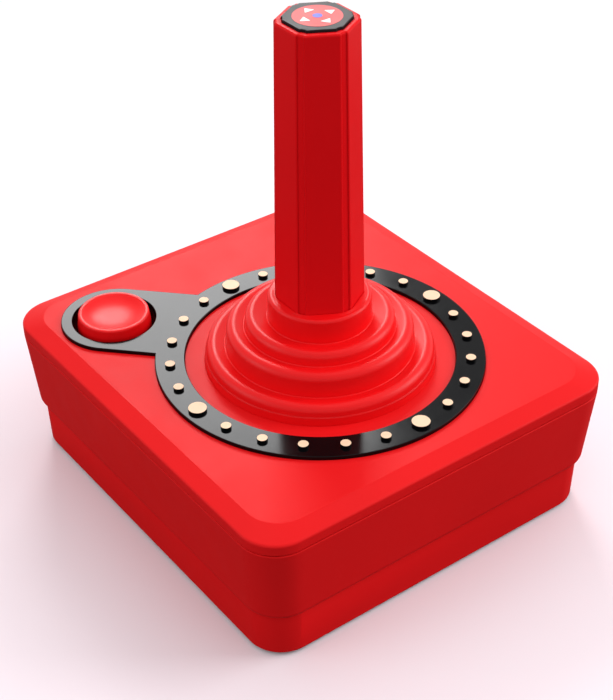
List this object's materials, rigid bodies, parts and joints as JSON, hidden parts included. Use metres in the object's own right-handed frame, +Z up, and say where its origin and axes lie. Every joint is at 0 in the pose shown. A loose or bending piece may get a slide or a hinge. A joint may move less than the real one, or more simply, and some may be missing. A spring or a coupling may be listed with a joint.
{
  "type": "retro joystick controller",
  "caption": "Square desktop game controller with a tall six-sided tilting stick in a stepped rubber boot, a studded ring plate and a round fire button.",
  "frame": {"origin": "on the surface that the feet stand on, under the middle of the housing", "axes": "+X is the player's right, +Y points away from the player to the back, +Z is up along the stick"},
  "size_m": [0.092, 0.101, 0.1135],
  "materials": {
    "red_plastic": "satin moulded",
    "red_gloss": "gloss moulded",
    "red_rubber": "smooth rubber with a soft sheen",
    "black_gloss": "gloss with light stud tops",
    "grey_plastic": "matt moulded",
    "nylon": "matt moulded",
    "steel": "plain",
    "board": "lacquered circuit board",
    "chip": "matt",
    "cell": "foil",
    "foam": "foam",
    "lead_red": "insulation",
    "lead_black": "insulation",
    "foot_rubber": "matt rubber"
  },
  "bodies": {
    "base": {"top_cover": "red_plastic", "housing_body": "red_plastic", "base_tray": "red_plastic", "ring_plate": "black_gloss", "boot": "red_rubber", "pivot_frame": "grey_plastic", "frame_screws": "steel", "button_spring": "steel", "button_guide": "grey_plastic", "guide_screws": "steel", "main_board": "board", "controller_chip": "chip", "dome_front": "steel", "dome_back": "steel", "dome_left": "steel", "dome_right": "steel", "dome_fire": "steel", "charge_socket": "steel", "battery": "cell", "battery_pad": "foam", "lead_plug": "nylon", "lead_red": "lead_red", "lead_black": "lead_black", "housing_screws": "steel", "board_screws": "steel", "foot_front_left": "foot_rubber", "foot_front_right": "foot_rubber", "foot_back_left": "foot_rubber", "foot_back_right": "foot_rubber"},
    "gimbal": {"gimbal_ring": "nylon", "gimbal_pins": "steel"},
    "stick": {"stick_core": "nylon", "stick_pins": "steel", "stick_grip": "red_plastic", "stick_cap": "black_gloss"},
    "button": {"fire_button": "red_gloss"}
  },
  "joints": [
    {"name": "stick_fore_aft", "type": "hinge", "parent": "base", "child": "gimbal", "pos_m": [0, -0.0064, 0.024], "axis": [1, 0, 0], "range_deg": [-10, 10], "stiffness_Nm_per_rad": 1.2, "deforming": ["boot"]},
    {"name": "stick_left_right", "type": "hinge", "parent": "gimbal", "child": "stick", "pos_m": [0, -0.0064, 0.024], "axis": [0, 1, 0], "range_deg": [-10, 10], "stiffness_Nm_per_rad": 1.2, "deforming": ["boot"]},
    {"name": "fire_press", "type": "slide", "parent": "base", "child": "button", "axis": [0, 0, -1], "range_m": [0, 0.0015], "stiffness_N_per_m": 900, "deforming": ["button_spring"]}
  ]
}
